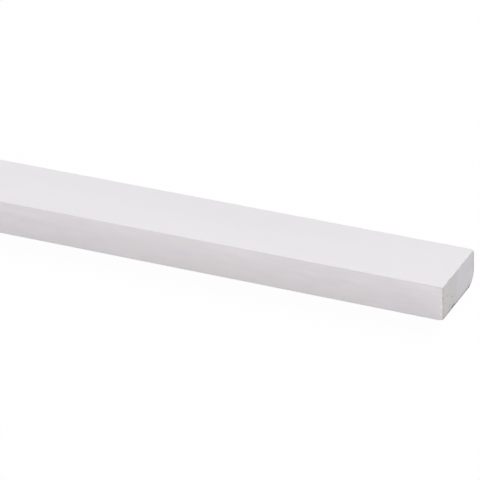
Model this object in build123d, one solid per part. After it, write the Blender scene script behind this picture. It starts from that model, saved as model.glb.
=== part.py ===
"""Cover strip: one length of white-primed, planed timber trim, lying flat.

The strip is a plain rectangle in section. Three of its long edges are only eased, so they stay crisp, and the
fourth, low at the back, is rounded over. Both ends are sawn square and have their sharp arris taken off.

Frame: +X runs along the strip, +Y goes from its front edge to its rounded-over back edge, and +Z is up. The
origin is in the middle of the broad face that the strip lies on.
"""

from build123d import *
import os

# Driving dimensions, in millimetres
strip_length = 2400.0  # a stock length of timber trim
strip_width = 28.0  # across the broad faces
strip_thickness = 12.0  # between the broad faces
round_over_radius = 5.0  # the one long edge that is rounded over
eased_edge_radius = 0.4  # the three long edges that sanding and priming leave crisp
end_arris_chamfer = 0.2  # the sharp edge taken off round each sawn end


def strip_section():
    """The section that the planer gives the strip: a rectangle on the floor line, with its four edges finished."""
    blank = Pos(0, strip_thickness / 2) * Rectangle(strip_width, strip_thickness)
    back_corners = blank.vertices().group_by(Axis.X)[-1]
    front_corners = blank.vertices().group_by(Axis.X)[0]
    low_back_corner, high_back_corner = back_corners.sort_by(Axis.Y)

    round_over_room = min(strip_thickness, strip_width) - eased_edge_radius - end_arris_chamfer
    section = fillet([*front_corners, high_back_corner], eased_edge_radius)
    low_back_corner = section.vertices().sort_by_distance(low_back_corner.center())[0]
    return fillet(low_back_corner, min(round_over_radius, round_over_room))


def cover_strip():
    """The section drawn out to the strip's length, with the arris broken all round both sawn ends."""
    strip = extrude(Plane.YZ * strip_section(), strip_length / 2, both=True)
    left_end = strip.faces().sort_by(Axis.X)[0]
    right_end = strip.faces().sort_by(Axis.X)[-1]
    return chamfer([*left_end.edges(), *right_end.edges()], end_arris_chamfer)


pieces = {"cover_strip": cover_strip()}

os.makedirs("parts", exist_ok=True)
for name, solid in pieces.items():
    solid.label = name
    export_step(solid, f"parts/{name}.step")
    size = solid.bounding_box().size
    print(f"{name}: {size.X:.1f} x {size.Y:.1f} x {size.Z:.1f} mm, {solid.volume / 1000:.1f} cm3")
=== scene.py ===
# %% [markdown]
# # A white-primed cover strip
#
# A cover strip is the plainest kind of trim: one length of planed timber, primed white all over, that hides
# the joint between two surfaces. There is nothing on it to look at but its section, its edges and its paint,
# so this lesson spends its time there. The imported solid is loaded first. It is the fixed frame: it gives the
# strip's real size and place, and everything below is made around it, in metres.

# %% Load the frame
import bmesh
import bpy
import math
import random
from mathutils import Euler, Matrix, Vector, noise


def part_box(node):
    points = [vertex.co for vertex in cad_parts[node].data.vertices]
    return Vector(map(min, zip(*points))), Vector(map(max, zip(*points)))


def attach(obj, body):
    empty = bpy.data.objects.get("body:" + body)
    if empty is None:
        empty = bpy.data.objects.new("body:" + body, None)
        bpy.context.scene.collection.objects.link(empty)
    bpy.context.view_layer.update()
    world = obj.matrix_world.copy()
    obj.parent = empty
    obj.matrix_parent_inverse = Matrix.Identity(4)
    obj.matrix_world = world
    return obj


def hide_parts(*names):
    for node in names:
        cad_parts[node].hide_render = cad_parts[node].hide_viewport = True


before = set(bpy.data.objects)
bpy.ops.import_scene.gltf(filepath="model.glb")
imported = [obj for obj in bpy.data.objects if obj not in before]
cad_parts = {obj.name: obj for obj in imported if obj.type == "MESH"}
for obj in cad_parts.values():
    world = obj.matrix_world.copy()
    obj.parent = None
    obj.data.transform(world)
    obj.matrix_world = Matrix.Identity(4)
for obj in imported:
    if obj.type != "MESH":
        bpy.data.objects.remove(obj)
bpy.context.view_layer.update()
MM = 0.001

low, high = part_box("cover_strip")
strip_length, strip_width, strip_thickness = high - low
middle = (low + high) / 2
print(f"strip: {strip_length / MM:.0f} x {strip_width / MM:.1f} x {strip_thickness / MM:.1f} mm")

# %% [markdown]
# ## The blank and its long edges
#
# In the workshop a square blank is planed to size, and then its long edges are finished: one is rounded over
# with a cutter, and the other three are only eased with sandpaper, so that paint holds on them. The mesh is
# made in the same order. A cube is stretched to the blank's size, and Bevel rounds its four long edges. A
# drawn outline could give the same section, but the bevel keeps the two radii as plain numbers, and it makes
# clean strips of faces.

# %% Plane the blank and finish its long edges
ROUND_OVER = 5.0 * MM
ROUND_OVER_STEPS = 12
EASED_EDGE = 0.4 * MM
EASED_EDGE_STEPS = 3
NEARLY_ALL = 0.99  # a direction lies along an axis when this share of it does


def along_strip(edge):
    """Whether an edge runs the strip's way, from one end towards the other."""
    run = edge.verts[0].co - edge.verts[1].co
    return abs(run.x) > NEARLY_ALL * run.length


def middle_of(edge):
    """The point half way along an edge."""
    return (edge.verts[0].co + edge.verts[1].co) / 2


def round_edges(mesh, edges, radius, segments):
    """Rounds edges over to a radius, with a circular profile."""
    bmesh.ops.bevel(mesh, geom=edges, offset=radius, offset_type="OFFSET", affect="EDGES",
                    segments=segments, profile=0.5, material=-1)


strip = bmesh.new()
bmesh.ops.create_cube(strip, size=1.0)
bmesh.ops.scale(strip, vec=(strip_length, strip_width, strip_thickness), verts=strip.verts)
bmesh.ops.translate(strip, vec=middle, verts=strip.verts)

long_edges = [edge for edge in strip.edges if along_strip(edge)]
low_back = [edge for edge in long_edges if middle_of(edge).y > middle.y and middle_of(edge).z < middle.z]
eased = [edge for edge in long_edges if edge not in low_back]
round_edges(strip, low_back, ROUND_OVER, ROUND_OVER_STEPS)
round_edges(strip, eased, EASED_EDGE, EASED_EDGE_STEPS)
print(f"section: {len(strip.faces) - 2} faces round it")

# %% [markdown]
# ## The sawn ends
#
# Both ends are cut square with a fine saw. The sharp arris round each cut is rubbed off before the primer
# goes on, so a narrow bevel goes round both end faces. A Bevel modifier would do as much, but the cuts and
# the damage below need the finished faces.

# %% Break the arris round both ends
END_ARRIS = 0.2 * MM
END_ARRIS_STEPS = 2

ends = [face for face in strip.faces if abs(face.normal.x) > NEARLY_ALL]
end_rims = {edge for face in ends for edge in face.edges}
round_edges(strip, list(end_rims), END_ARRIS, END_ARRIS_STEPS)
print(f"arris: {len(end_rims)} edges broken")

# %% [markdown]
# ## Rows along the strip
#
# Paint on timber is never quite flat, and relief needs vertices to move. Knife cuts with Bisect split the
# flat faces into rows, which are closer on the narrow edges, where the grain shows more. The first and last
# row of each face are very thin. They hold the shading: without them a smooth-shaded flat would seem to
# curve towards its arris, and the arris would look soft.

# %% Cut the flat faces into rows
BROAD_ROW = 1.4 * MM
NARROW_ROW = 0.6 * MM
HOLD = 0.12 * MM
SLIVER = 0.04 * MM


def cut(mesh, faces, place, direction):
    """One knife cut through some of the faces, which leaves out slivers."""
    parts = set(faces)
    for face in faces:
        parts.update(face.edges)
        parts.update(face.verts)
    bmesh.ops.bisect_plane(mesh, geom=list(parts), dist=SLIVER, plane_co=place, plane_no=direction)


def spaced(first, last, pitch):
    """Evenly spaced places from the first to the last, about one pitch apart."""
    count = round((last - first) / pitch)
    return [first + (last - first) * step / count for step in range(count + 1)]


edge_room = EASED_EDGE + HOLD
for y in spaced(low.y + edge_room, high.y - edge_room, BROAD_ROW):
    cut(strip, [face for face in strip.faces if abs(face.normal.z) > NEARLY_ALL], (0, y, 0), (0, 1, 0))
for z in spaced(low.z + edge_room, high.z - edge_room, NARROW_ROW):
    cut(strip, [face for face in strip.faces if abs(face.normal.y) > NEARLY_ALL], (0, 0, z), (0, 0, 1))
print(f"rows: {len(strip.faces)} faces")

# %% [markdown]
# ## A finer grid at the ends
#
# The saw marks and the knocked arrises are small, so the last few millimetres and the end faces themselves
# get a fine square grid. The same knife cuts make it, through the faces of the end zones alone. They leave
# the round-over's new vertices on its flat segments, so those are then set back on its arc.

# %% Cut the end zones into a fine grid
END_ZONE = 3.0 * MM
END_GRID = 0.22 * MM
LONG_CELL = 4.0 * MM


def end_zones():
    """The faces within the two end zones."""
    start = strip_length / 2 - END_ZONE
    return [face for face in strip.faces if abs(face.calc_center_median().x - middle.x) > start]


for depth in (END_ZONE, END_ZONE + LONG_CELL):
    for x in (low.x + depth, high.x - depth):
        cut(strip, strip.faces[:], (x, 0, 0), (1, 0, 0))

rim_room = END_ARRIS + HOLD
for y in spaced(low.y + edge_room, high.y - edge_room, END_GRID):
    cut(strip, end_zones(), (0, y, 0), (0, 1, 0))
for z in spaced(low.z + edge_room, high.z - edge_room, END_GRID):
    cut(strip, end_zones(), (0, 0, z), (0, 0, 1))
for depth in spaced(rim_room, END_ZONE - END_GRID, END_GRID):
    for x in (low.x + depth, high.x - depth):
        cut(strip, end_zones(), (x, 0, 0), (1, 0, 0))
print(f"end zones: {len(end_zones())} faces")

# %% Set the round-over back on its arc
SEGMENT_SAG = 0.03 * MM  # more than a flat segment of the round-over lies inside its arc

arc_centre = Vector((0, high.y - ROUND_OVER, low.z + ROUND_OVER))
set_back = 0
for vertex in strip.verts:
    out = Vector((0, vertex.co.y, vertex.co.z)) - arc_centre
    if out.y > 0 > out.z and out.length > ROUND_OVER - SEGMENT_SAG:
        vertex.co += out * (ROUND_OVER / out.length - 1)
        set_back += 1
print(f"round-over: {set_back} vertices on its arc")

# %% [markdown]
# ## Cells between the ends
#
# Between the end zones, Subdivide cuts the rows into longer cells. One cell beside each zone was cut off
# above: it takes up the fine grid's last vertices, so that the rows beyond it stay plain four-sided faces.
# Those cells now have many sides. They are split into well-shaped triangles here, while they are flat,
# because an export that splits them after the relief has bent them leaves folded slivers.

# %% Cut the rows between the end zones into cells
between_zones = [edge for edge in strip.edges
                 if along_strip(edge) and edge.calc_length() > strip_length / 2]
cells = round(between_zones[0].calc_length() / LONG_CELL)
bmesh.ops.subdivide_edges(strip, edges=between_zones, cuts=cells - 1, use_grid_fill=True)
many_sided = [face for face in strip.faces if len(face.verts) > 4]
bmesh.ops.triangulate(strip, faces=many_sided, quad_method="BEAUTY", ngon_method="BEAUTY")
bmesh.ops.recalc_face_normals(strip, faces=strip.faces)
strip.normal_update()
print(f"grid: {len(strip.faces)} faces, {sum(len(face.verts) - 2 for face in strip.faces)} triangles")

# %% [markdown]
# ## Relief under the paint
#
# Three things show through the primer. The broad faces are planed, and are almost flat. On the narrow edges
# the grain rises in soft, drawn-out streaks. The ends carry the saw's shallow arcs, and the open end grain
# between them. Bump alone could draw them, but then the mesh itself would stay bare, so the larger relief is
# real. All of it only lowers the surface, because the strip's stock size is its highest point. Each vertex
# moves along its normal by a mix of the three depths, and the squares of the normal's parts are the shares
# of that mix, so that the relief fades from one face to the next round every edge.

# %% Patterns for the relief
SAW_PITCH = 1.3 * MM
SAW_HUB = Vector((0, -140 * MM, -35 * MM))
SAW_WOBBLE = 0.5  # of a pitch
SAW_WOBBLE_PATCH = 3 * MM
SAW_PATCH = 5 * MM
FIBRE_LENGTH = 1.0  # fibres run so far that a pattern on an end stays the same at any depth


def drawn_out(place, along, across):
    """Noise from 0 to 1 in patches of a real length along the strip and a real width across it."""
    return 0.5 + 0.5 * noise.noise(Vector((place.x / along, place.y / across, place.z / across)))


def saw_mark(place):
    """The saw's arcs about its hub, from 0 to 1, deeper in some places than in others."""
    swing = Vector((0, place.y, place.z)) - SAW_HUB
    wobble = SAW_WOBBLE * drawn_out(place, FIBRE_LENGTH, SAW_WOBBLE_PATCH)
    wave = 0.5 + 0.5 * math.sin(math.tau * (swing.length / SAW_PITCH + wobble))
    return wave * drawn_out(place, FIBRE_LENGTH, SAW_PATCH)


print(f"saw: arcs {SAW_PITCH / MM:.1f} mm apart, about a hub {SAW_HUB.length / MM:.0f} mm away")

# %% Lay the grain and the saw marks into the surface
WAVE_DEPTH = 0.012 * MM
WAVE_LENGTH, WAVE_WIDTH = 80 * MM, 6 * MM
GRAIN_DEPTH = 0.045 * MM
GRAIN_LENGTH, GRAIN_WIDTH = 16 * MM, 2.2 * MM
SAW_DEPTH = 0.035 * MM
PORE_DEPTH = 0.045 * MM
PORE_WIDTH = 0.9 * MM

for vertex in strip.verts:
    spot = vertex.co
    end_share, narrow_share, broad_share = [part ** 2 for part in vertex.normal]
    waves = WAVE_DEPTH * drawn_out(spot, WAVE_LENGTH, WAVE_WIDTH)
    grain = GRAIN_DEPTH * drawn_out(spot, GRAIN_LENGTH, GRAIN_WIDTH)
    sawn = SAW_DEPTH * saw_mark(spot) + PORE_DEPTH * drawn_out(spot, FIBRE_LENGTH, PORE_WIDTH)
    vertex.co -= vertex.normal * (broad_share * waves + narrow_share * grain + end_share * sawn)
print("relief: up to", round((SAW_DEPTH + PORE_DEPTH) / MM, 3), "mm deep")

# %% [markdown]
# ## Torn fibres and knocked corners
#
# A saw goes in cleanly and tears the fibres where it comes out, so the arris of the end that lies on the
# floor is ragged. Handling did the rest: the other arrises of the end are chipped and nicked, mostly low
# down, and two corners are rubbed. A boolean could cut such damage, but it leaves slivers, so four small
# tools move the vertices of the fine grid instead. Rag pushes the lower arris in by uneven amounts. Bite
# sets a ball mostly outside the surface and pushes the vertices inside it on to it, which leaves a hollow
# with a crisp rim. Chip scatters such bites at random, and Rub rounds a corner off. A vertex attribute keeps
# how badly each vertex was torn or bitten, and the paint reads it later: broken wood has less primer on it,
# and grey timber shows. The same attribute carries painted light. The torn lower arris is painted dark as
# bare fibre and as painted shade where it meets the floor, a hollow that looks down gets painted shade, and
# a hollow that looks up gets a negative value and a painted highlight, whiter than the coat.

# %% A tool that tears the lower arris
TORN_START = 4.0 * MM
TORN_REACH = 0.9 * MM
TORN_DEPTH = 0.08 * MM
TORN_PATCH = 1.1 * MM
TORN_BARENESS_AND_SHADE = 2  # of a full tear, before its root is taken

damage_shade_and_highlight = strip.verts.layers.float.new("damage_shade_and_highlight")


def rag(verts, end_x, inward):
    """Tears the lower arris of an end unevenly, and marks it dark as bare fibre and as painted shade along the
    floor. It fades out a little way off and at the front corner.
    """
    for vertex in verts:
        off = abs(vertex.co.x - end_x) + vertex.co.z - low.z
        if off < TORN_REACH:
            along = min(1, (vertex.co.y - low.y) / TORN_START)
            tear = drawn_out(vertex.co, FIBRE_LENGTH, TORN_PATCH) * (1 - off / TORN_REACH) * along
            vertex.co += inward * TORN_DEPTH * tear
            # The tear darkens the paint: bare fibre, and painted shade where the arris meets the floor.
            vertex[damage_shade_and_highlight] = math.sqrt(TORN_BARENESS_AND_SHADE * tear)


print(f"tears: up to {TORN_DEPTH / MM:.2f} mm deep")

# %% Tools that bite chips out and rub corners off
BITE_UNEVENNESS = 0.25  # of a bite's size, either way
BITE_PATCH = 0.5 * MM
BARE_DEPTH = 0.2 * MM
LEVEL_BARENESS = 0.5  # of a hollow that looks straight out
TILT_SHADE_AND_HIGHLIGHT = 5  # painted shade gained by a hollow that looks down, and painted highlight by one that looks up
CHIP_LEAN = (0.3, 0.3, 0.9)  # the most along X, Y and Z, either way
CHIP_SHARES = (0.3, 0.5)  # the least and the most depth, as shares of a chip's size


def bite(verts, tip, inward, size, share):
    """Bites an uneven hollow at a tip, as deep as a share of its size. It gets painted shade if it looks down,
    and a painted highlight if it looks up.
    """
    inward = inward.normalized()
    centre = tip - inward * (size - size * share)
    bareness_and_painted_light = max(-1, min(1, LEVEL_BARENESS + TILT_SHADE_AND_HIGHLIGHT * inward.z))
    for vertex in verts:
        off = vertex.co - centre
        if off.length > (1 + BITE_UNEVENNESS) * size:
            continue
        unevenness = 2 * BITE_UNEVENNESS * drawn_out(vertex.co, BITE_PATCH, BITE_PATCH)
        radius = size * (1 - BITE_UNEVENNESS + unevenness)
        if off.length < radius:
            along = off.dot(inward)
            push = math.sqrt(along ** 2 + radius ** 2 - off.length_squared) - along
            vertex.co += inward * push
            vertex[damage_shade_and_highlight] += bareness_and_painted_light * push / BARE_DEPTH


def chip(verts, chance, count, start, reaches, inward, sizes):
    """Bites a number of chips of uneven size and lean, at random places within some reaches of a start."""
    for _ in range(count):
        tip = start + sum((reach * chance.random() for reach in reaches), Vector())
        lean = Vector([chance.uniform(-most, most) for most in CHIP_LEAN])
        size = chance.uniform(*sizes) * MM
        bite(verts, tip, inward + lean, size, chance.uniform(*CHIP_SHARES))


def rub(verts, corner, inward, reach, depth):
    """Rounds a corner off softly, with its paint left on."""
    for vertex in verts:
        nearness = max(0, 1 - (vertex.co - corner).length / reach)
        vertex.co += inward.normalized() * depth * nearness ** 2


print(f"bites: bare where they are {BARE_DEPTH / MM:.1f} mm deep")

# %% Scatter small chips over an end
CHANCE_SEED = 7
CHIPS_ABOVE_CORNER = 1.2 * MM
CHIPS_BESIDE_CORNER = 1.5 * MM
CHIPPED_HEIGHT = 0.6  # of the thickness
PITTED_WIDTH = 0.4  # of the width that is chipped
LOW_CHIP_SIZES = (0.3, 0.5)
TOP_CHIP_SIZES = (0.3, 0.45)
PIT_SIZES = (0.2, 0.35)


def scatter_chips(verts, side, count, low_front, high_front):
    """Chips the front, lower and upper arrises at random, and pits the end itself. Sizes are in mm."""
    chance = random.Random(CHANCE_SEED + side)
    above_corner = low_front + Vector((0, 0, CHIPS_ABOVE_CORNER))
    beside_corner = low_front + Vector((0, CHIPS_BESIDE_CORNER, 0))
    up = Vector((0, 0, strip_thickness * CHIPPED_HEIGHT))
    across = Vector((0, strip_width - ROUND_OVER, 0))
    pits = count + count // 3
    pitted = [up, across * PITTED_WIDTH]
    chip(verts, chance, count, above_corner, [up], Vector((-side, 0.5, -0.4)), LOW_CHIP_SIZES)
    chip(verts, chance, count, beside_corner, [across], Vector((-side, 0, 0.9)), LOW_CHIP_SIZES)
    chip(verts, chance, count // 2, high_front, [across], Vector((-side, 0, -0.7)), TOP_CHIP_SIZES)
    chip(verts, chance, pits, above_corner, pitted, Vector((-side, 0, 0.3)), PIT_SIZES)


print(f"chips: scattered over {CHIPPED_HEIGHT * strip_thickness / MM:.1f} mm of the front arris")

# %% Knock an end about
DEEP_SHARE = 0.45  # depth as a share of size
SHALLOW_SHARE = 0.3
LOW_RUB_REACH, LOW_RUB_DEPTH = 2.0 * MM, 0.35 * MM
HIGH_RUB_REACH, HIGH_RUB_DEPTH = 1.6 * MM, 0.4 * MM
BREAK_SMOOTHING = 0.4


def knock_end(side, small_chips, deep_chips, highlighted_chips, nicks):
    """Damages one end: a number of small chips at random, and larger ones at places given in mm."""
    end_x = middle.x + side * strip_length / 2
    verts = [vertex for vertex in strip.verts if abs(vertex.co.x - end_x) < END_ZONE]
    low_front = Vector((end_x, low.y, low.z))
    high_front = Vector((end_x, low.y, high.z))
    high_back = Vector((end_x, high.y, high.z))

    rag(verts, end_x, Vector((-side, 0, 0.2)).normalized())
    scatter_chips(verts, side, small_chips, low_front, high_front)
    for from_front, from_floor, size in deep_chips:
        tip = low_front + Vector((0, from_front, from_floor)) * MM
        bite(verts, tip, Vector((-side, 0, 0.1)), size * MM, DEEP_SHARE)
    for from_end, from_floor, size in highlighted_chips:
        tip = low_front + Vector((-side * from_end, 0, from_floor)) * MM
        bite(verts, tip, Vector((-side, 2, -1)), size * MM, SHALLOW_SHARE)
    for from_front, size in nicks:
        tip = high_front + Vector((0, from_front, 0)) * MM
        bite(verts, tip, Vector((-side, 0, -0.1)), size * MM, SHALLOW_SHARE)
    rub(verts, low_front, Vector((-side, 1, 1)), LOW_RUB_REACH, LOW_RUB_DEPTH)
    rub(verts, high_back, Vector((-side, -1, -1)), HIGH_RUB_REACH, HIGH_RUB_DEPTH)

    broken = [vertex for vertex in verts if vertex[damage_shade_and_highlight] != 0]
    bmesh.ops.smooth_vert(strip, verts=broken, factor=BREAK_SMOOTHING,
                          use_axis_x=True, use_axis_y=True, use_axis_z=True)
    return len(broken)


# Deep chips lie low on the end, and are given from the front, from the floor, and by their size.
# Highlighted ones lie on the front edge and look up, so they get a painted highlight; they are given from the
# end, from the floor, and by their size.
# Nicks lie in the top arris, and are given from the front and by their size.
RIGHT_SMALL_CHIPS = 20
RIGHT_DEEP_CHIPS = [(0.2, 2.2, 0.35), (8.8, 0.6, 0.7), (9.6, 0.5, 0.65), (10.4, 0.6, 0.7),
                    (21.6, 0.5, 0.55), (23.2, 0.5, 0.65), (24.1, 0.9, 0.5)]
RIGHT_HIGHLIGHTED_CHIPS = [(0.6, 2.2, 0.45), (0.5, 4.8, 0.6), (0.2, 5.8, 0.4), (0.8, 7.5, 0.45)]
RIGHT_NICKS = [(2.3, 0.6), (4.9, 0.9), (5.9, 1.0), (7.0, 0.7), (12.9, 0.7), (17.2, 0.8), (19.4, 0.6),
               (23.4, 0.7), (25.2, 0.7)]
LEFT_SMALL_CHIPS = 8
LEFT_DEEP_CHIPS = [(14.0, 0.2, 0.7), (14.8, 0.3, 0.8)]
LEFT_NICKS = [(8.2, 0.7), (20.1, 0.8)]

right_broken = knock_end(1, RIGHT_SMALL_CHIPS, RIGHT_DEEP_CHIPS, RIGHT_HIGHLIGHTED_CHIPS, RIGHT_NICKS)
left_broken = knock_end(-1, LEFT_SMALL_CHIPS, LEFT_DEEP_CHIPS, [], LEFT_NICKS)
print(f"damage: {right_broken} vertices at the right end, {left_broken} at the left one")

# %% [markdown]
# ## A map of the surface
#
# When the finish is baked to pictures, the strip has to lie flat on a square. A strip this long would be
# squeezed to a hair's width, so it is folded: its length is cut into five rows, and in each row its four
# long faces lie one above the other. The two ends are drawn four times as large in a band of their own,
# because their detail is finer.

# %% Fold the strip on to a square map
MAP_ROWS = 5
END_ZOOM = 4
MAP_GAP = 2 * MM
row_length = strip_length / MAP_ROWS
row_height = 2 * (strip_width + strip_thickness) + 4 * MAP_GAP
map_size = MAP_ROWS * row_height + END_ZOOM * strip_thickness + MAP_GAP
band_starts = {"top": 0, "bottom": strip_width + MAP_GAP, "front": 2 * (strip_width + MAP_GAP),
               "back": 2 * (strip_width + MAP_GAP) + strip_thickness + MAP_GAP}


def side_of(face):
    """The name of the side that a face looks to most."""
    across, back, up = face.normal
    if abs(across) > max(abs(back), abs(up)):
        return "right end" if across > 0 else "left end"
    if abs(back) > abs(up):
        return "back" if back > 0 else "front"
    return "top" if up > 0 else "bottom"


def map_place(side, row, spot):
    """Where a point of one side lies on the map, in metres from the map's corner."""
    from_left, from_front, from_floor = spot - low
    if side.endswith("end"):
        start = MAP_GAP if side == "left end" else END_ZOOM * strip_width + 2 * MAP_GAP
        return Vector((start + END_ZOOM * from_front, MAP_ROWS * row_height + END_ZOOM * from_floor))
    height = from_front if side in ("top", "bottom") else from_floor
    return Vector((from_left - row * row_length + MAP_GAP, row * row_height + band_starts[side] + height))


strip.normal_update()
strip_map = strip.loops.layers.uv.new("OFBake")
for face in strip.faces:
    side = side_of(face)
    row = int((face.calc_center_median().x - low.x) / row_length)
    face.material_index = 1 if side.endswith("end") else 0
    for corner in face.loops:
        corner[strip_map].uv = map_place(side, row, corner.vert.co) / map_size
print(f"map: {map_size / MM:.0f} mm square, {row_length / MM:.0f} mm of the strip in each row")

# %% [markdown]
# ## The piece in the frame
#
# The mesh now becomes an object at the frame's origin. It rides on the strip's only body, and stands for the
# imported solid, which is hidden.

# %% Make the object
strip_mesh = bpy.data.meshes.new("cover_strip_primed")
strip.to_mesh(strip_mesh)
strip.free()
strip_mesh.shade_smooth()
piece = bpy.data.objects.new("primed_cover_strip", strip_mesh)
bpy.context.scene.collection.objects.link(piece)
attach(piece, "root")
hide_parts("cover_strip")
print(f"piece: {len(strip_mesh.polygons)} faces")

# %% [markdown]
# ## Colours and nodes
#
# Three helpers serve every finish. One turns an sRGB hex colour, as a paint chart would give it, into the
# linear numbers that a shader takes. One adds any node with its settings and links. The last turns real
# sizes in millimetres into a Mapping scale, so that each pattern below is given at its real size.

# %% Helpers for the finishes
# A Mix node has an A, a B and a Result for each kind of value, so its colours are found by number.
COLOUR_A = 6
COLOUR_B = 7
MIXED = 2


def linear(code):
    """An sRGB hex colour as the linear numbers that a shader takes."""
    channels = [int(code[start:start + 2], 16) / 255 for start in (1, 3, 5)]
    return [c / 12.92 if c <= 0.04045 else ((c + 0.055) / 1.055) ** 2.4 for c in channels] + [1.0]


def add_node(tree, kind, inputs, **settings):
    """Adds a node with its settings. An input given a socket is linked, and one given a value is set."""
    made = tree.nodes.new(kind)
    for name, value in settings.items():
        setattr(made, name, value)
    for name, value in inputs.items():
        if isinstance(value, bpy.types.NodeSocket):
            tree.links.new(value, made.inputs[name])
        else:
            made.inputs[name].default_value = value
    return made


def patches_of(*sizes):
    """A Mapping scale that draws a pattern's patches as large as given, in mm along X, Y and Z."""
    return [1 / (size * MM) for size in sizes]


WHITE = linear("#FFFFFF")
print("white in linear numbers:", WHITE)

# %% [markdown]
# ## The coat where it is broken, with painted shade and highlights
#
# Damage goes through the coat on every face alike, so one function lays it over any coat's colour. It reads
# the attribute that the damage left on the vertices. Above zero the coat is thin or gone, and the bare timber
# shows grey; the same grey is painted shade in the torn lower arris and in hollows that look down. Below zero
# a hollow looks up, and it gets a painted highlight, whiter than the faces round it.

# %% Lay the damage over a coat
# Bare timber grey, used also as painted shade in the torn lower arris and in hollows that look down.
BARE_TIMBER_AND_SHADE = linear("#8A8580")
# A painted highlight for hollows that look up.
CAUGHT_PRIMER_HIGHLIGHT = linear("#F6F4F5")
BARE_FROM, BARE_BY = 0.1, 1.3
HIGHLIGHT_BY = -1.0


def coat_with_damage_and_painted_light(tree, coat):
    """The coat's colour with the damage on it: bare timber and painted shade where it is torn or a hollow
    looks down, and a painted highlight where a hollow looks up.
    """
    damage = add_node(tree, "ShaderNodeAttribute", {}, attribute_name="damage_shade_and_highlight")
    bare = add_node(tree, "ShaderNodeMapRange",
                    {"Value": damage.outputs["Fac"], "From Min": BARE_FROM, "From Max": BARE_BY})
    highlight = add_node(tree, "ShaderNodeMapRange",
                      {"Value": damage.outputs["Fac"], "From Min": 0.0, "From Max": HIGHLIGHT_BY})
    torn_and_shaded_coat = add_node(tree, "ShaderNodeMix",
                         {"Factor": bare.outputs[0], COLOUR_A: coat, COLOUR_B: BARE_TIMBER_AND_SHADE},
                         data_type="RGBA")
    highlighted_coat = add_node(tree, "ShaderNodeMix",
                           {"Factor": highlight.outputs[0], COLOUR_A: torn_and_shaded_coat.outputs[MIXED],
                            COLOUR_B: CAUGHT_PRIMER_HIGHLIGHT}, data_type="RGBA")
    return highlighted_coat.outputs[MIXED]


print("bare timber in linear numbers:", [round(part, 3) for part in BARE_TIMBER_AND_SHADE])

# %% [markdown]
# ## The primer on the planed faces
#
# Acrylic primer is sprayed on in one thin coat. It dries to a dead, slightly lilac white with a fine orange
# peel, and no gloss to speak of. On the broad faces it is even. On the narrow edges it sinks into the raised
# grain, so there it is a touch pinker and cloudy. One material does both, and the square of the normal's Y
# part is the mask: two materials would meet in a line along the round-over, where the real coat has none.

# %% Start the primer for the planed faces
PRIMER_IOR = 1.46

primer = bpy.data.materials.new("white_primer_on_planed_timber")
primer.use_nodes = True
tree = primer.node_tree
shader = tree.nodes["Principled BSDF"]
shader.inputs["IOR"].default_value = PRIMER_IOR
where = add_node(tree, "ShaderNodeTexCoord", {})
place = add_node(tree, "ShaderNodeSeparateXYZ", {"Vector": where.outputs["Object"]})
facing = add_node(tree, "ShaderNodeSeparateXYZ", {"Vector": where.outputs["Normal"]})
narrow = add_node(tree, "ShaderNodeMath", {0: facing.outputs["Y"], 1: facing.outputs["Y"]},
                  operation="MULTIPLY")
print("finish:", primer.name)

# %% Cloud the broad faces
# The coat is a hair thicker or thinner in broad clouds, and painted light makes the broad faces lighter
# towards the front.
THIN_WHITE, FULL_WHITE = linear("#E5E2E6"), linear("#EBE8EC")
PAINTED_LIGHT_BACK, PAINTED_LIGHT_FRONT = -0.2, 0.25
BROAD_CLOUD = patches_of(90, 14, 14)

broad_place = add_node(tree, "ShaderNodeMapping", {"Vector": where.outputs["Object"], "Scale": BROAD_CLOUD})
broad_clouds = add_node(tree, "ShaderNodeTexNoise",
                        {"Vector": broad_place.outputs[0], "Scale": 1.0, "Detail": 1.0})
# Painted light: the broad faces get lighter towards the front.
painted_front_light = add_node(tree, "ShaderNodeMapRange",
                 {"Value": place.outputs["Y"], "From Min": high.y, "From Max": low.y,
                  "To Min": PAINTED_LIGHT_BACK, "To Max": PAINTED_LIGHT_FRONT})
clouds_and_painted_light = add_node(tree, "ShaderNodeMath", {0: broad_clouds.outputs["Fac"], 1: painted_front_light.outputs[0]},
                 operation="ADD", use_clamp=True)
broad_white = add_node(tree, "ShaderNodeMix",
                       {"Factor": clouds_and_painted_light.outputs[0], COLOUR_A: THIN_WHITE, COLOUR_B: FULL_WHITE},
                       data_type="RGBA")
print("broad faces:", len(tree.nodes), "nodes so far")

# %% Streak the narrow edges
# The coat sinks into the grain in short streaks, and where it is thin the timber warms it. Painted light
# makes the narrow edges lighter high up.
SUNK_WHITE, RAISED_WHITE = linear("#E0DADF"), linear("#EEE9ED")
WARM_WHITE = linear("#E6E3E1")
GRAIN_STREAK = patches_of(9, 1.9, 1.9)
WARM_PATCH = patches_of(24, 6, 6)
PAINTED_LIGHT_DEPTH = 5 * MM
PAINTED_LIGHT_ABOVE = 0.35
WARM_FROM, WARM_BY, MOST_WARMTH = 0.4, 0.7, 0.5

streak_place = add_node(tree, "ShaderNodeMapping",
                        {"Vector": where.outputs["Object"], "Scale": GRAIN_STREAK})
streaks = add_node(tree, "ShaderNodeTexNoise",
                   {"Vector": streak_place.outputs[0], "Scale": 1.0, "Detail": 3.0})
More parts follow.
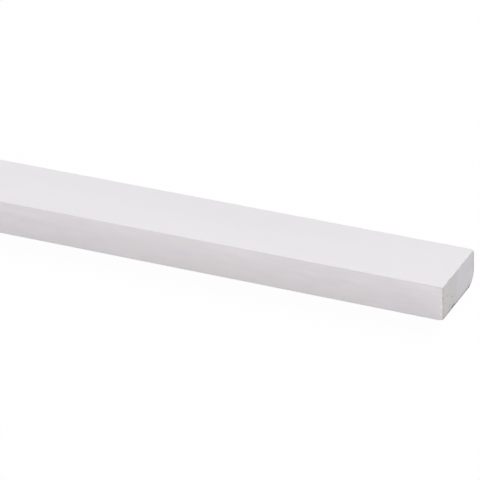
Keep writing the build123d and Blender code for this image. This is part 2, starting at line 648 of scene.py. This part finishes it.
# Painted light: the narrow edges get lighter towards their top.
painted_light_high_up = add_node(tree, "ShaderNodeMapRange",
                       {"Value": place.outputs["Z"], "From Min": high.z - PAINTED_LIGHT_DEPTH,
                        "From Max": high.z, "To Min": 0.0, "To Max": PAINTED_LIGHT_ABOVE})
streaks_and_painted_light = add_node(tree, "ShaderNodeMath", {0: streaks.outputs["Fac"], 1: painted_light_high_up.outputs[0]},
                        operation="ADD")
cold_white = add_node(tree, "ShaderNodeMix",
                      {"Factor": streaks_and_painted_light.outputs[0], COLOUR_A: SUNK_WHITE, COLOUR_B: RAISED_WHITE},
                      data_type="RGBA")
warm_place = add_node(tree, "ShaderNodeMapping", {"Vector": where.outputs["Object"], "Scale": WARM_PATCH})
warm_patches = add_node(tree, "ShaderNodeTexNoise",
                        {"Vector": warm_place.outputs[0], "Scale": 1.0, "Detail": 1.0})
warmth = add_node(tree, "ShaderNodeMapRange",
                  {"Value": warm_patches.outputs["Fac"], "From Min": WARM_FROM, "From Max": WARM_BY,
                   "To Max": MOST_WARMTH})
narrow_white = add_node(tree, "ShaderNodeMix",
                        {"Factor": warmth.outputs[0], COLOUR_A: cold_white.outputs[MIXED],
                         COLOUR_B: WARM_WHITE}, data_type="RGBA")
print("narrow edges:", len(tree.nodes), "nodes so far")

# %% Join the coats of the broad faces and the narrow edges
# Close to the ends the saw shook the coat loose along the narrow edges, and it is a little creamier.
CREAM_WHITE = linear("#E9E3E2")
CREAM_REACH = 2.5 * MM
MOST_CREAM = 0.9

from_middle = add_node(tree, "ShaderNodeMath", {0: place.outputs["X"]}, operation="ABSOLUTE")
near_end = add_node(tree, "ShaderNodeMapRange",
                    {"Value": from_middle.outputs[0], "From Min": high.x - CREAM_REACH,
                     "From Max": high.x, "To Max": MOST_CREAM})
edge_white = add_node(tree, "ShaderNodeMix",
                      {"Factor": near_end.outputs[0], COLOUR_A: narrow_white.outputs[MIXED],
                       COLOUR_B: CREAM_WHITE}, data_type="RGBA")
coat = add_node(tree, "ShaderNodeMix",
                {"Factor": narrow.outputs[0], COLOUR_A: broad_white.outputs[MIXED],
                 COLOUR_B: edge_white.outputs[MIXED]}, data_type="RGBA")
tree.links.new(coat_with_damage_and_painted_light(tree, coat.outputs[MIXED]), shader.inputs["Base Color"])
print("coat:", len(tree.nodes), "nodes so far")

# %% Give the coat its orange peel
# The peel is drawn about twice as coarse as it is, so that it shows at all.
ORANGE_PEEL = patches_of(0.9, 0.9, 0.9)
PEEL_DEPTH = 0.008 * MM
STREAK_DEPTH = 0.04 * MM
PEEL_LEAST_ROUGH, PEEL_MOST_ROUGH = 0.5, 0.68

peel_place = add_node(tree, "ShaderNodeMapping", {"Vector": where.outputs["Object"], "Scale": ORANGE_PEEL})
peel = add_node(tree, "ShaderNodeTexNoise", {"Vector": peel_place.outputs[0], "Scale": 1.0, "Detail": 2.0})
dullness = add_node(tree, "ShaderNodeMapRange",
                    {"Value": peel.outputs["Fac"], "To Min": PEEL_LEAST_ROUGH, "To Max": PEEL_MOST_ROUGH})
tree.links.new(dullness.outputs[0], shader.inputs["Roughness"])
peel_bump = add_node(tree, "ShaderNodeBump", {"Height": peel.outputs["Fac"], "Distance": PEEL_DEPTH})
sunk = add_node(tree, "ShaderNodeMath", {0: streaks.outputs["Fac"], 1: narrow.outputs[0]},
                operation="MULTIPLY")
streak_bump = add_node(tree, "ShaderNodeBump",
                       {"Height": sunk.outputs[0], "Distance": STREAK_DEPTH,
                        "Normal": peel_bump.outputs[0]})
tree.links.new(streak_bump.outputs[0], shader.inputs["Normal"])
strip_mesh.materials.append(primer)
print("finished:", primer.name, "with", len(tree.nodes), "nodes")

# %% [markdown]
# ## The primer on the sawn ends
#
# End grain drinks paint. The same primer dries thinner there: greyer, rougher and uneven, with pores just
# showing. Its front part is painted darker, as painted shade, and a little warmer. It is a material of its
# own, because it meets the coat on the planed faces in a sharp line along the arris.

# %% Start the primer for the sawn ends
end_primer = bpy.data.materials.new("white_primer_on_end_grain")
end_primer.use_nodes = True
tree = end_primer.node_tree
shader = tree.nodes["Principled BSDF"]
shader.inputs["IOR"].default_value = PRIMER_IOR
where = add_node(tree, "ShaderNodeTexCoord", {})
place = add_node(tree, "ShaderNodeSeparateXYZ", {"Vector": where.outputs["Object"]})
print("finish:", end_primer.name)

# %% Cloud the end grain, and paint shade on its front part
THIRSTY_WHITE, COVERED_WHITE = linear("#E0DDE0"), linear("#ECE9EE")
SHADED_FRONT_WHITE, SHADED_BACK_WHITE = linear("#E3DEDB"), linear("#DEDBDC")
END_CLOUD = patches_of(40, 3.2, 3.2)
FRONT_SHADE_FULLY, FRONT_SHADE_UP_TO = 10.5 * MM, 15 * MM
MOST_FRONT_SHADE = 0.85
WARM_FRONT = 12 * MM

cloud_place = add_node(tree, "ShaderNodeMapping", {"Vector": where.outputs["Object"], "Scale": END_CLOUD})
clouds = add_node(tree, "ShaderNodeTexNoise",
                  {"Vector": cloud_place.outputs[0], "Scale": 1.0, "Detail": 3.0})
thin_white = add_node(tree, "ShaderNodeMix",
                      {"Factor": clouds.outputs["Fac"], COLOUR_A: THIRSTY_WHITE, COLOUR_B: COVERED_WHITE},
                      data_type="RGBA")
# Painted shade: the front part of the end is painted darker, and a little warmer.
front_shade = add_node(tree, "ShaderNodeMapRange",
                {"Value": place.outputs["Y"], "From Min": low.y + FRONT_SHADE_FULLY,
                 "From Max": low.y + FRONT_SHADE_UP_TO, "To Min": MOST_FRONT_SHADE, "To Max": 0.0},
                interpolation_type="SMOOTHSTEP")
from_front = add_node(tree, "ShaderNodeMapRange",
                      {"Value": place.outputs["Y"], "From Min": low.y, "From Max": low.y + WARM_FRONT})
front_shade_white = add_node(tree, "ShaderNodeMix",
                      {"Factor": from_front.outputs[0], COLOUR_A: SHADED_FRONT_WHITE,
                       COLOUR_B: SHADED_BACK_WHITE}, data_type="RGBA")
front_shaded_white = add_node(tree, "ShaderNodeMix",
                  {"Factor": front_shade.outputs[0], COLOUR_A: thin_white.outputs[MIXED],
                   COLOUR_B: front_shade_white.outputs[MIXED]}, data_type="RGBA")
print("end grain:", len(tree.nodes), "nodes so far")

# %% Darken its upright arrises, and open its pores
# The end is darker along its two upright arrises, and the coat doesn't fill the pores.
ARRIS_DARK_WHITE = linear("#CDC9C9")
ARRIS_DARK_FROM, ARRIS_DARK_FULLY = 2.0 * MM, 0.8 * MM
MOST_ARRIS_DARK = 0.45
OPEN_PORE_GREY = linear("#B4AFAA")
OPEN_PORE = patches_of(40, 0.55, 0.55)
PORE_RIM, PORE_FLOOR, MOST_PORE = 0.36, 0.24, 0.5

from_centre = add_node(tree, "ShaderNodeMath", {0: place.outputs["Y"]}, operation="ABSOLUTE")
arris_dark = add_node(tree, "ShaderNodeMapRange",
                 {"Value": from_centre.outputs[0], "From Min": strip_width / 2 - ARRIS_DARK_FROM,
                  "From Max": strip_width / 2 - ARRIS_DARK_FULLY, "To Max": MOST_ARRIS_DARK})
arris_dark_white = add_node(tree, "ShaderNodeMix",
                       {"Factor": arris_dark.outputs[0], COLOUR_A: front_shaded_white.outputs[MIXED],
                        COLOUR_B: ARRIS_DARK_WHITE}, data_type="RGBA")
pore_place = add_node(tree, "ShaderNodeMapping", {"Vector": where.outputs["Object"], "Scale": OPEN_PORE})
pores = add_node(tree, "ShaderNodeTexNoise", {"Vector": pore_place.outputs[0], "Scale": 1.0, "Detail": 2.0})
pore_depth = add_node(tree, "ShaderNodeMapRange",
                      {"Value": pores.outputs["Fac"], "From Min": PORE_RIM, "From Max": PORE_FLOOR,
                       "To Min": 0.0, "To Max": MOST_PORE})
pored = add_node(tree, "ShaderNodeMix",
                 {"Factor": pore_depth.outputs[0], COLOUR_A: arris_dark_white.outputs[MIXED],
                  COLOUR_B: OPEN_PORE_GREY}, data_type="RGBA")
tree.links.new(coat_with_damage_and_painted_light(tree, pored.outputs[MIXED]), shader.inputs["Base Color"])
print("arrises and pores:", len(tree.nodes), "nodes so far")

# %% Roughen the end grain
CLOUD_MOST_ROUGH, CLOUD_LEAST_ROUGH = 0.82, 0.62
OPEN_PORE_DEPTH = 0.04 * MM

dullness = add_node(tree, "ShaderNodeMapRange",
                    {"Value": clouds.outputs["Fac"], "To Min": CLOUD_MOST_ROUGH,
                     "To Max": CLOUD_LEAST_ROUGH})
tree.links.new(dullness.outputs[0], shader.inputs["Roughness"])
pore_bump = add_node(tree, "ShaderNodeBump", {"Height": pores.outputs["Fac"], "Distance": OPEN_PORE_DEPTH})
tree.links.new(pore_bump.outputs[0], shader.inputs["Normal"])
strip_mesh.materials.append(end_primer)
print("finished:", end_primer.name, "with", len(tree.nodes), "nodes")

# %% [markdown]
# ## The floor
#
# The strip lies on white paper that fades into a white background. The camera, and any gloss, sees the floor
# as pure white with the strip's faint shadow left on it. To the light it is ordinary paper, which throws
# back a part of what falls on it. Light Path tells the two apart, so the white background puts no extra
# light on the strip.

# %% Lay the floor
FLOOR_SIZE = 60.0
FLOOR_DROP = 0.05 * MM  # keeps the paper clear of the face that lies on it

floor_mesh = bpy.data.meshes.new("floor")
floor_cut = bmesh.new()
bmesh.ops.create_grid(floor_cut, x_segments=1, y_segments=1, size=FLOOR_SIZE / 2)
bmesh.ops.translate(floor_cut, vec=(0, 0, -FLOOR_DROP), verts=floor_cut.verts)
floor_cut.to_mesh(floor_mesh)
floor_cut.free()
floor = bpy.data.objects.new("floor", floor_mesh)
bpy.context.scene.collection.objects.link(floor)
print(f"floor: {FLOOR_SIZE:.0f} m square")

# %% Make the floor's paper
FLOOR_WHITENESS = 0.95
PAPER = linear("#F1F1F1")


def seen_directly(tree):
    """1 for rays that show the background itself, and 0 for rays that carry its light to the strip."""
    path = add_node(tree, "ShaderNodeLightPath", {})
    shown = add_node(tree, "ShaderNodeMath",
                     {0: path.outputs["Is Camera Ray"], 1: path.outputs["Is Glossy Ray"]},
                     operation="ADD", use_clamp=True)
    return add_node(tree, "ShaderNodeMath", {0: shown.outputs[0], 1: path.outputs["Is Transmission Ray"]},
                    operation="ADD", use_clamp=True).outputs[0]


floor_paper = bpy.data.materials.new("white_paper_floor")
floor_paper.use_nodes = True
tree = floor_paper.node_tree
tree.nodes.clear()
shown = seen_directly(tree)
paper_colour = add_node(tree, "ShaderNodeMix", {"Factor": shown, COLOUR_A: PAPER, COLOUR_B: WHITE},
                        data_type="RGBA")
paper = add_node(tree, "ShaderNodeBsdfDiffuse", {"Color": paper_colour.outputs[MIXED]})
white = add_node(tree, "ShaderNodeEmission", {"Color": WHITE, "Strength": 1.0})
share = add_node(tree, "ShaderNodeMath", {0: shown, 1: FLOOR_WHITENESS}, operation="MULTIPLY")
both = add_node(tree, "ShaderNodeMixShader",
                {"Fac": share.outputs[0], 1: paper.outputs[0], 2: white.outputs[0]})
add_node(tree, "ShaderNodeOutputMaterial", {"Surface": both.outputs[0]})
floor_mesh.materials.append(floor_paper)
print("finish:", floor_paper.name)

# %% [markdown]
# ## The light
#
# A white room gives even light from all round. A wide soft lamp, high up behind the strip, lays a soft shadow
# on the floor in front, so less light comes back up to the lower part of the front edge, and it darkens
# downwards. A weaker one in front makes that edge lighter than the sawn end. Area lamps would have to be very
# large here, so both are sun lamps, which light the whole length alike.

# %% Set the lamps
# Each lamp has a strength, an azimuth and an elevation to shine from, and a spread in degrees.
LAMPS = {"overhead_softbox": (0.55, 180, 45, 40), "front_fill": (0.295, 0, 20, 60)}


def from_direction(azimuth, elevation):
    """A unit vector to a point of the sky: azimuth 0 is straight in front of the strip, and 90 its right."""
    around, above = math.radians(azimuth), math.radians(elevation)
    return Vector((math.sin(around) * math.cos(above), -math.cos(around) * math.cos(above), math.sin(above)))


for name, (strength, azimuth, elevation, spread) in LAMPS.items():
    lamp = bpy.data.lights.new(name, "SUN")
    lamp.energy = strength * math.pi
    lamp.angle = math.radians(spread)
    lamp_object = bpy.data.objects.new(name, lamp)
    lamp_object.rotation_euler = from_direction(azimuth, elevation).to_track_quat("Z", "Y").to_euler()
    bpy.context.scene.collection.objects.link(lamp_object)
print("lamps:", ", ".join(LAMPS))

# %% Light the room
AMBIENT = 0.44

world = bpy.data.worlds.new("studio")
bpy.context.scene.world = world
world.use_nodes = True
tree = world.node_tree
tree.nodes.clear()
room = add_node(tree, "ShaderNodeBackground", {"Color": WHITE, "Strength": AMBIENT})
white = add_node(tree, "ShaderNodeBackground", {"Color": WHITE, "Strength": 1.0})
both = add_node(tree, "ShaderNodeMixShader",
                {"Fac": seen_directly(tree), 1: room.outputs[0], 2: white.outputs[0]})
add_node(tree, "ShaderNodeOutputWorld", {"Surface": both.outputs[0]})
print("light from the room:", AMBIENT)

# %% [markdown]
# ## The camera
#
# A long lens looks down on the right-hand end from in front, and the strip runs out of the picture on the
# left. The camera is placed by what it looks at: a point on the top face near the sawn end, the two angles,
# and a distance.

# %% Place the camera
AIM_FROM_END = 72.67 * MM
AIM_FROM_FRONT = 5.395 * MM
CAMERA_DISTANCE = 1048.9 * MM
AZIMUTH, ELEVATION, ROLL = 25.357, 28.107, math.radians(-1.591)
LENS, SENSOR_WIDTH = 242.23, 36.0
CLIP_START, CLIP_END = 0.05, 200.0

aim = Vector((high.x - AIM_FROM_END, low.y + AIM_FROM_FRONT, high.z))
back = from_direction(AZIMUTH, ELEVATION)
camera_data = bpy.data.cameras.new("photo_camera")
camera_data.lens = LENS
camera_data.sensor_width = SENSOR_WIDTH
camera_data.clip_start = CLIP_START
camera_data.clip_end = CLIP_END
camera = bpy.data.objects.new("photo_camera", camera_data)
camera.location = aim + back * CAMERA_DISTANCE
turn = (-back).to_track_quat("-Z", "Y").to_matrix() @ Euler((0, 0, ROLL)).to_matrix()
camera.rotation_euler = turn.to_euler()
bpy.context.scene.collection.objects.link(camera)
bpy.context.scene.camera = camera
bpy.context.scene.view_settings.view_transform = "Standard"
print("camera at", [round(part, 3) for part in camera.location])
